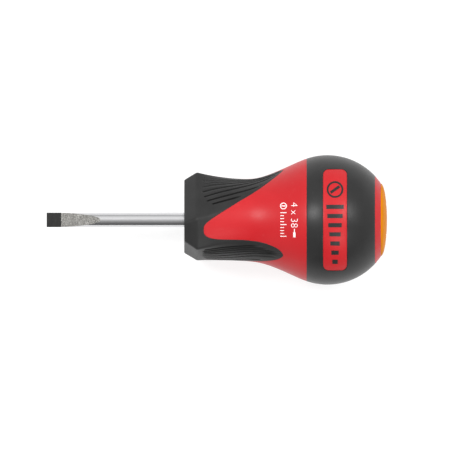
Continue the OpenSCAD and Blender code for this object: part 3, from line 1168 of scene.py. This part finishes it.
@dataclass
class Window:
    """The rounded window in the ball band, seen along Z."""

    form: HandleForm
    half_x: float = 3.3
    half_y: float = 14.0
    corner: float = 1.6
    aft: float = 2.1

    @property
    def middle_x(self) -> float:
        """Place of the window's middle along the tool."""
        return self.form.ball_x + self.aft

    def half_width(self, y: float) -> float:
        """Half of the window's width along the tool.

        Args:
            y: Distance across the tool from the window's middle.

        Returns:
            The half width there.
        """
        past = abs(y) - (self.half_y - self.corner)
        if past <= 0.0:
            return self.half_x
        return self.half_x - self.corner + math.sqrt(max(0.0, self.corner ** 2 - past ** 2))


@dataclass
class BallBand(Piece):
    """Soft band round the ball, with a window for the inlay."""

    name: str = "soft_ball_band"
    slot: Slot = Slot.BAND
    node: str = "ball_band"
    wall: float = 1.4
    gap: float = 0.03
    window_reach: float = 65.0
    ring_columns: int = 72
    length_steps: int = 24
    window_steps: int = 48
    loops: int = 12
    loops_len: float = 4.2       # length that the loops' spacing is worked out for

    def dress(self) -> list[Finish]:
        """Soft black."""
        return [self.finishes.band]

    def sink(self, x: float, window_distance: float) -> float:
        """Depth of the rolled edges at a place on the band."""
        form = self.form
        return roll(min(x - form.band_x0, form.band_x1 - x, window_distance))

    def shape(self, bm: bmesh.types.BMesh) -> None:
        """Lays a ring of faces round the window and a patch over the rest of the ball.

        Args:
            bm: Empty mesh that receives the band.
        """
        form = self.form
        window = Window(form)
        half = (form.band_x1 - form.band_x0) / 2
        middle = (form.band_x1 + form.band_x0) / 2
        along = rolled_steps(half, self.length_steps)
        across = [math.sin(math.pi / 2 * value) for value in steps(-1.0, 1.0, self.window_steps)]
        walk = square_walk(along, across)
        shares = [(value + 1.0) / 2 for value in rolled_steps(self.loops_len / 2, self.loops)]

        def by_window(place_on_walk: int, loop: int) -> Vector:
            """Place of a vertex on a loop between the window and the band's edges."""
            u, v = walk[place_on_walk]
            dx, dy = rounded_outline(u, v, window.half_x + self.gap, window.half_y + self.gap,
                                     window.corner + self.gap)
            start_x = window.middle_x + dx
            start_angle = math.degrees(math.asin(dy / form.ball_at(start_x)))
            x = mix(start_x, middle + u * half, shares[loop])
            angle = mix(start_angle, v * self.window_reach, shares[loop])
            away = math.hypot(x - start_x, math.radians(angle - start_angle) * form.ball_r)
            return around(x, form.ball_at(x) - self.sink(x, away), angle)

        def by_ring(row: int, column: int) -> Vector:
            """Place of a vertex on the rest of the band."""
            x = middle + along[row] * half
            angle = mix(self.window_reach, 360.0 - self.window_reach, column / self.ring_columns)
            return around(x, form.ball_at(x) - self.sink(x, form.ball_r), angle)

        lay_patch(bm, len(walk) - 1, self.loops + 2 * (len(EDGE_STEPS) - 1), by_window)
        bmesh.ops.reverse_faces(bm, faces=bm.faces[:])
        lay_patch(bm, len(along) - 1, self.ring_columns, by_ring)
        merge_close(bm)
        thicken(bm, self.wall, Vector((form.ball_x, 0.0, 0.0)))


@dataclass
class Inlay(Piece):
    """Red field of the shell that shows in the band's window."""

    name: str = "badge_inlay"
    slot: Slot = Slot.SHELL
    node: str = "handle_shell"
    depth: float = 0.1
    wall: float = 0.8
    width_steps: int = 16
    length_steps: int = 56
    corner_steps: int = 10

    def dress(self) -> list[Finish]:
        """Red moulding."""
        return [self.finishes.red]

    def shape(self, bm: bmesh.types.BMesh) -> None:
        """Lays a domed rounded rectangle.

        Args:
            bm: Empty mesh that receives the inlay.
        """
        form = self.form
        window = Window(form)
        along = rolled_steps(window.half_x, self.width_steps)
        ends = window.half_y - window.corner
        curve = [ends + window.corner * math.sin(math.pi / 2 * t) for t in steps(0.0, 1.0, self.corner_steps)]
        across = [-y for y in reversed(curve)] + steps(-ends, ends, self.length_steps)[1:-1] + curve

        def place(row: int, column: int) -> Vector:
            """Place of a vertex."""
            y = across[column]
            x = window.middle_x + along[row] * window.half_width(y)
            edge = min(window.half_width(y) * (1.0 - abs(along[row])), window.half_y - abs(y))
            sphere = form.ball_r - self.depth - roll(edge)
            return Vector((x, y, math.sqrt(sphere ** 2 - (x - form.ball_x) ** 2 - y ** 2)))

        lay_patch(bm, len(along) - 1, len(across) - 1, place)
        merge_close(bm)
        thicken(bm, self.wall, Vector((window.middle_x, 0.0, 0.0)))


def add_bar(bm: bmesh.types.BMesh, middle: Pair, size: Pair, turn: float = 0.0) -> None:
    """Adds a flat bar of small quads, in millimetres.

    Args:
        bm: Mesh that receives the bar.
        middle: Place of its middle.
        size: Its length and width.
        turn: Angle by which it is turned, in degrees.
    """
    cos, sin = math.cos(math.radians(turn)), math.sin(math.radians(turn))
    rows = max(2, round(size[0] / FIGURE_QUAD))
    columns = max(2, round(size[1] / FIGURE_QUAD))

    def place(row: int, column: int) -> Vector:
        """Place of a vertex."""
        x = size[0] * (row / rows - 0.5)
        y = size[1] * (column / columns - 0.5)
        return Vector((middle[0] + x * cos - y * sin, middle[1] + x * sin + y * cos, 0.0))

    lay_patch(bm, rows, columns, place)


def add_ring(bm: bmesh.types.BMesh, middle: Pair, outer: float, inner: float) -> None:
    """Adds a flat ring, in millimetres.

    Args:
        bm: Mesh that receives the ring.
        middle: Place of its middle.
        outer: Outer radius.
        inner: Inner radius.
    """
    def place(row: int, column: int) -> Vector:
        """Place of a vertex."""
        radius = mix(inner, outer, row / 2)
        turn = math.tau * column / RING_STEPS
        return Vector((middle[0] + radius * math.cos(turn), middle[1] + radius * math.sin(turn), 0.0))

    lay_patch(bm, 2, RING_STEPS, place)


@dataclass
class BadgeSign(Piece):
    """Black figures that lie flush in the inlay: a slotted screw head and a stack of bars."""

    name: str = "badge_sign"
    slot: Slot = Slot.BAND
    node: str = "ball_band"
    wall: float = 0.12
    face_depth: float = 0.06
    head_y: float = 8.4
    head_r: float = 2.3
    head_wall: float = 0.5
    slot_size: Pair = (3.0, 0.75)
    slot_turn: float = 35.0
    bars: int = 7
    bar_y: Pair = (3.6, -11.6)
    bar_length: Pair = (4.8, 1.5)
    bar_width: float = 1.15

    def dress(self) -> list[Finish]:
        """Soft black."""
        return [self.finishes.band]

    def shape(self, bm: bmesh.types.BMesh) -> None:
        """Draws the sign flat, then lays it on the ball.

        Args:
            bm: Empty mesh that receives the sign.
        """
        form = self.form
        window = Window(form)
        add_ring(bm, (0.0, self.head_y), self.head_r, self.head_r - self.head_wall)
        add_bar(bm, (0.0, self.head_y), self.slot_size, self.slot_turn)
        for number in range(self.bars):
            share = number / (self.bars - 1)
            add_bar(bm, (0.0, mix(*self.bar_y, share)), (mix(*self.bar_length, share), self.bar_width))
        for vert in bm.verts:
            x = window.middle_x + vert.co.x / MM
            y = vert.co.y / MM
            sphere = form.ball_r - self.face_depth
            height = math.sqrt(sphere ** 2 - (x - form.ball_x) ** 2 - y ** 2)
            vert.co = Vector((x, y, height)) * MM
        merge_close(bm)
        thicken(bm, self.wall, Vector((window.middle_x, 0.0, 0.0)))


@dataclass
class EndCap(Piece):
    """Domed amber cap with a sunk screw-head sign, and the spigot that holds it."""

    name: str = "amber_end_cap"
    slot: Slot = Slot.CAP
    node: str = "end_cap"
    cap_r: float = 10.0
    spigot_r: float = 5.0
    spigot_len: float = 4.0
    spigot_chamfer: float = 0.3
    slot_half: Pair = (0.7, 3.2)
    slot_corner: float = 0.3
    ring_r: Pair = (4.0, 4.6)
    # steps of the sign's walls: distance sideways from the wall, and depth below the dome
    slot_edge: tuple[Pair, ...] = ((-0.08, 0.3), (-0.02, 0.26), (0.0, 0.05), (0.05, 0.0))
    ring_edge: tuple[Pair, ...] = ((-0.06, 0.0), (0.0, 0.05), (0.04, 0.25), (0.12, 0.3))
    bridge_shares: tuple[float, ...] = (0.25, 0.5, 0.75)
    walk_steps: tuple[int, int] = (8, 40)
    dome_start: float = 60.0   # degrees from the rim at which the dome's rows start
    dome_steps: int = 22
    dome_gap: float = 0.1      # they keep this far from the ring

    def dress(self) -> list[Finish]:
        """Amber moulding."""
        return [self.finishes.amber]

    def dome(self, radius: float) -> float:
        """Height of the crown over the shell's end at a radius."""
        rise = self.form.cap_end_x - self.form.end_x
        return rise * math.sqrt(max(0.0, 1.0 - (radius / self.cap_r) ** 2))

    def slot_loops(self, walk: list[Pair]) -> list[list[Vector]]:
        """Loops of the sign's slot, from its floor out to the dome.

        Args:
            walk: Points once round the unit square's edge.

        Returns:
            The loops' places in millimetres.
        """
        slot_z, slot_y = self.slot_half
        loops = []
        for grow, depth in self.slot_edge:
            loops.append([])
            for u, v in walk:
                z, y = rounded_outline(u, v, slot_z + grow, slot_y + grow, self.slot_corner)
                height = self.dome(math.hypot(y, z)) - depth
                loops[-1].append(Vector((self.form.end_x + height, y, z)))
        return loops

    def bridge_loops(self, edge: list[Vector], directions: list[Vector]) -> list[list[Vector]]:
        """Loops on the dome between the slot's edge and the sign's ring.

        Args:
            edge: Loop round the slot.
            directions: Directions from the axis, one for each point of the loop.

        Returns:
            The loops' places in millimetres.
        """
        reach = self.ring_r[0] + self.ring_edge[0][0]
        loops = []
        for share in self.bridge_shares:
            spots = [start * (1.0 - share) + way * reach * share for start, way in zip(edge, directions)]
            loops.append([Vector((self.form.end_x + self.dome(math.hypot(spot.y, spot.z)), spot.y, spot.z))
                          for spot in spots])
        return loops

    def profile(self) -> list[Pair]:
        """Round part of the cap, as radius and place along the tool.

        Returns:
            The points from the sign's ring out over the dome and down the spigot.
        """
        end_x = self.form.end_x
        inner, outer = self.ring_r
        ring = [(inner + step, depth) for step, depth in self.ring_edge]
        ring += [(outer - step, depth) for step, depth in reversed(self.ring_edge)]
        profile = [(radius, end_x + self.dome(radius) - depth) for radius, depth in ring]
        for angle in steps(self.dome_start, 0.0, self.dome_steps):
            radius = self.cap_r * math.cos(math.radians(angle))
            if radius > outer + self.dome_gap:
                profile.append((radius, end_x + self.dome(radius)))
        return profile + [(self.spigot_r, end_x),
                          (self.spigot_r, end_x - self.spigot_len + self.spigot_chamfer),
                          (self.spigot_r - self.spigot_chamfer, end_x - self.spigot_len)]

    def shape(self, bm: bmesh.types.BMesh) -> None:
        """Lofts loops from the sunk slot out over the dome and down the spigot.

        Args:
            bm: Empty mesh that receives the cap.
        """
        walk = square_walk(*(steps(-1.0, 1.0, count) for count in self.walk_steps))
        directions = [Vector((0.0, v, u)).normalized() for u, v in walk]
        slot = self.slot_loops(walk)
        loops = slot + self.bridge_loops(slot[-1], directions)
        loops += [[way * radius + Vector((x, 0, 0)) for way in directions] for radius, x in self.profile()]
        lay_patch(bm, len(loops) - 1, len(walk) - 1, lambda row, column: loops[row][column])
        merge_close(bm)
        close_ends(bm)


@dataclass
class SizeMark(Piece):
    """White print on the waist: the blade's size and a row of generic signs."""

    name: str = "size_print"
    slot: Slot = Slot.INK
    text: str = "4 x 38"
    line_x: float = 67.5
    second_x: float = 65.4
    digit_height: float = 1.85
    text_length: float = 7.0
    text_shift: float = -1.4
    text_cuts: int = 40
    thinning: float = 0.016
    sign_y: float = 0.92        # middle of the blade sign, over the first line's foot
    shank_x: float = 3.0
    shank_size: Pair = (1.0, 0.24)
    tip_x: float = 4.2
    tip_size: Pair = (1.4, 0.6)
    ring_x: float = -3.9
    ring_r: Pair = (0.95, 0.72)
    stroke_size: Pair = (1.2, 0.28)
    ticks: int = 9
    tick_x: Pair = (-2.0, 4.6)
    tick_foot: float = -0.85    # foot of the ticks, from the second line's middle
    tick_tall: float = 1.7
    tick_short: float = 1.0
    tick_width: float = 0.22
    tick_group: int = 4         # every fourth tick is tall
    thickness: float = 0.02
    lift: float = 0.012

    def dress(self) -> list[Finish]:
        """White ink."""
        return [self.finishes.ink]

    def letters(self, bm: bmesh.types.BMesh) -> None:
        """Adds the size in digits, flat, reading along +X.

        Args:
            bm: Mesh that receives the digits.
        """
        curve = bpy.data.curves.new("size_text", "FONT")
        curve.body = self.text
        curve.resolution_u = 4
        curve.offset = -self.thinning
        source = bpy.data.objects.new("size_text", curve)
        bpy.context.scene.collection.objects.link(source)
        bpy.context.view_layer.update()
        flat = bpy.data.meshes.new_from_object(source.evaluated_get(bpy.context.evaluated_depsgraph_get()))
        bpy.data.objects.remove(source)
        bpy.data.curves.remove(curve)
        bm.from_mesh(flat)
        bpy.data.meshes.remove(flat)
        low_x = min(vert.co.x for vert in bm.verts)
        high_x = max(vert.co.x for vert in bm.verts)
        low_y = min(vert.co.y for vert in bm.verts)
        high_y = max(vert.co.y for vert in bm.verts)
        for vert in bm.verts:
            across = (vert.co.x - (low_x + high_x) / 2) / (high_x - low_x) * self.text_length
            up = (vert.co.y - low_y) / (high_y - low_y) * self.digit_height
            vert.co = Vector((across + self.text_shift, up, 0.0)) * MM
        for number in range(1, self.text_cuts):
            cut = mix(-self.text_length / 2, self.text_length / 2, number / self.text_cuts) + self.text_shift
            bmesh.ops.bisect_plane(bm, geom=bm.verts[:] + bm.edges[:] + bm.faces[:],
                                   plane_co=Vector((cut, 0.0, 0.0)) * MM, plane_no=(1.0, 0.0, 0.0))
        merge_close(bm)

    def shape(self, bm: bmesh.types.BMesh) -> None:
        """Draws the two lines flat, then wraps them round the waist.

        Args:
            bm: Empty mesh that receives the print.
        """
        form = self.form
        self.letters(bm)
        add_bar(bm, (self.shank_x, self.sign_y), self.shank_size)
        add_bar(bm, (self.tip_x, self.sign_y), self.tip_size)
        below = self.second_x - self.line_x
        add_ring(bm, (self.ring_x, below), *self.ring_r)
        add_bar(bm, (self.ring_x, below), self.stroke_size, 90.0)
        for number in range(self.ticks):
            tall = self.tick_short if number % self.tick_group else self.tick_tall
            x = mix(*self.tick_x, number / (self.ticks - 1))
            add_bar(bm, (x, below + self.tick_foot + tall / 2), (self.tick_width, tall))
        bmesh.ops.recalc_face_normals(bm, faces=bm.faces[:])
        for vert in bm.verts:
            x = self.line_x + vert.co.y / MM
            radius = form.crown(x)
            angle = -math.degrees(vert.co.x / MM / radius)
            vert.co = around(x, radius + self.lift, angle) * MM
        thicken(bm, self.thickness, Vector((self.line_x, 0.0, 0.0)))


# ---- Studio ----

@dataclass(frozen=True)
class SoftLight:
    """A square soft light: its name, its place and side in millimetres, and its power in watts."""

    name: str
    place: Triple
    side: float
    power: float


@dataclass
class Studio:
    """Pale floor, soft lights and the camera."""

    floor_half: float = 600.0
    floor_white: float = 0.3
    floor_rough: float = 0.9
    floor_specular: float = 0.1
    floor_glow: float = 0.74
    world_strength: float = 0.85
    sky_tones: tuple[Pair, ...] = (
        (0.0, 0.14), (0.07, 0.19), (0.17, 0.3), (0.3, 0.5), (0.43, 0.76), (0.57, 1.03),
        (0.7, 1.35), (0.83, 1.25), (0.93, 0.9), (1.0, 0.63))
    view_width: float = 124.83
    view_middle: Pair = (49.54, -1.69)
    camera_height: float = 300.0
    lights: tuple[SoftLight, ...] = (
        SoftLight("front_light", (-125.0, 108.0, 440.0), 110.0, 1.25),
        SoftLight("rear_light", (345.0, 125.0, 400.0), 180.0, 1.1),
        SoftLight("side_light", (229.0, -254.0, 372.0), 150.0, 0.5))

    def sum_of(self, tree: bpy.types.NodeTree, task: str, first: object,
               second: object) -> bpy.types.NodeSocket:
        """Adds a sum to the world's nodes.

        Args:
            tree: Node tree of the world.
            task: Kind of sum, as Blender names it.
            first: First number, or its socket.
            second: Second number, or its socket.

        Returns:
            The socket of the result.
        """
        node = tree.nodes.new("ShaderNodeMath")
        node.operation = task
        for socket, value in zip(node.inputs, (first, second)):
            if isinstance(value, bpy.types.NodeSocket):
                tree.links.new(value, socket)
            else:
                socket.default_value = value
        return node.outputs["Value"]

    def sky(self, tree: bpy.types.NodeTree) -> None:
        """Makes the room bright above and dark on the tool's near side, less so past its ends.

        Args:
            tree: Node tree of the world.
        """
        place = tree.nodes.new("ShaderNodeTexCoord")
        parts = tree.nodes.new("ShaderNodeSeparateXYZ")
        share = tree.nodes.new("ShaderNodeMapRange")
        ramp = tree.nodes.new("ShaderNodeValToRGB")
        share.inputs["From Min"].default_value = -1.0
        tree.links.new(place.outputs["Generated"], parts.inputs["Vector"])
        endwise = self.sum_of(tree, "ABSOLUTE", parts.outputs["X"], 0.0)
        aside = self.sum_of(tree, "POWER", self.sum_of(tree, "SUBTRACT", 1.0, endwise), 2.0)
        tree.links.new(self.sum_of(tree, "MULTIPLY", parts.outputs["Y"], aside), share.inputs["Value"])
        tree.links.new(share.outputs["Result"], ramp.inputs["Fac"])
        ramp.color_ramp.interpolation = "LINEAR"
        while len(ramp.color_ramp.elements) < len(self.sky_tones):
            ramp.color_ramp.elements.new(0.5)
        for stop, (at, tone) in zip(ramp.color_ramp.elements, self.sky_tones):
            stop.position = at
            stop.color = (tone, tone, tone, 1.0)
        background = tree.nodes["Background"]
        background.inputs["Strength"].default_value = self.world_strength
        tree.links.new(ramp.outputs["Color"], background.inputs["Color"])

    def floor(self) -> None:
        """Lays the floor under the tool."""
        low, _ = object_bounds()
        bm = bmesh.new()
        bmesh.ops.create_grid(bm, x_segments=1, y_segments=1, size=self.floor_half * MM)
        bmesh.ops.translate(bm, vec=Vector((self.view_middle[0] * MM, 0.0, low.z)), verts=bm.verts[:])
        mesh = bpy.data.meshes.new("studio_floor")
        bm.to_mesh(mesh)
        bm.free()
        floor = bpy.data.objects.new("studio_floor", mesh)
        bpy.context.scene.collection.objects.link(floor)
        material = bpy.data.materials.new("floor_white")
        material.use_nodes = True
        shader = material.node_tree.nodes["Principled BSDF"]
        shader.inputs["Base Color"].default_value = (self.floor_white,) * 3 + (1.0,)
        shader.inputs["Roughness"].default_value = self.floor_rough
        shader.inputs["Specular IOR Level"].default_value = self.floor_specular
        shader.inputs["Emission Color"].default_value = (1.0, 1.0, 1.0, 1.0)
        shader.inputs["Emission Strength"].default_value = self.floor_glow
        mesh.materials.append(material)
        floor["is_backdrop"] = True

    def area(self, light: SoftLight) -> None:
        """Adds a soft light that points at the tool's middle.

        Args:
            light: The light's values.
        """
        data = bpy.data.lights.new(light.name, "AREA")
        data.shape = "SQUARE"
        data.size = light.side * MM
        data.energy = light.power
        lamp = bpy.data.objects.new(light.name, data)
        target = Vector((self.view_middle[0], 0.0, 0.0))
        lamp.location = Vector(light.place) * MM
        lamp.rotation_euler = (target - Vector(light.place)).to_track_quat("-Z", "Y").to_euler()
        bpy.context.scene.collection.objects.link(lamp)

    def build(self) -> None:
        """Makes the world, the floor, the lights and the camera."""
        scene = bpy.context.scene
        world = bpy.data.worlds.new("studio")
        world.use_nodes = True
        self.sky(world.node_tree)
        scene.world = world
        scene.view_settings.view_transform = "Standard"
        self.floor()
        for light in self.lights:
            self.area(light)
        data = bpy.data.cameras.new("view")
        data.type = "ORTHO"
        data.ortho_scale = self.view_width * MM
        camera = bpy.data.objects.new("view", data)
        camera.location = Vector((*self.view_middle, self.camera_height)) * MM
        scene.collection.objects.link(camera)
        scene.camera = camera


def main() -> None:
    logging.basicConfig(level=logging.INFO, format="%(name)s: %(message)s")
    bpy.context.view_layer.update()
    form = HandleForm.from_frame()
    finishes = Finishes()
    for kind in (Blade, RedShell, FrontGrip, BallBand, Inlay, BadgeSign, EndCap, SizeMark):
        kind(form, finishes).make()
    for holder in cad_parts["handle_core"].material_slots:
        holder.material = material_of(finishes.core)
    Studio().build()


if __name__ == "__main__":
    main()
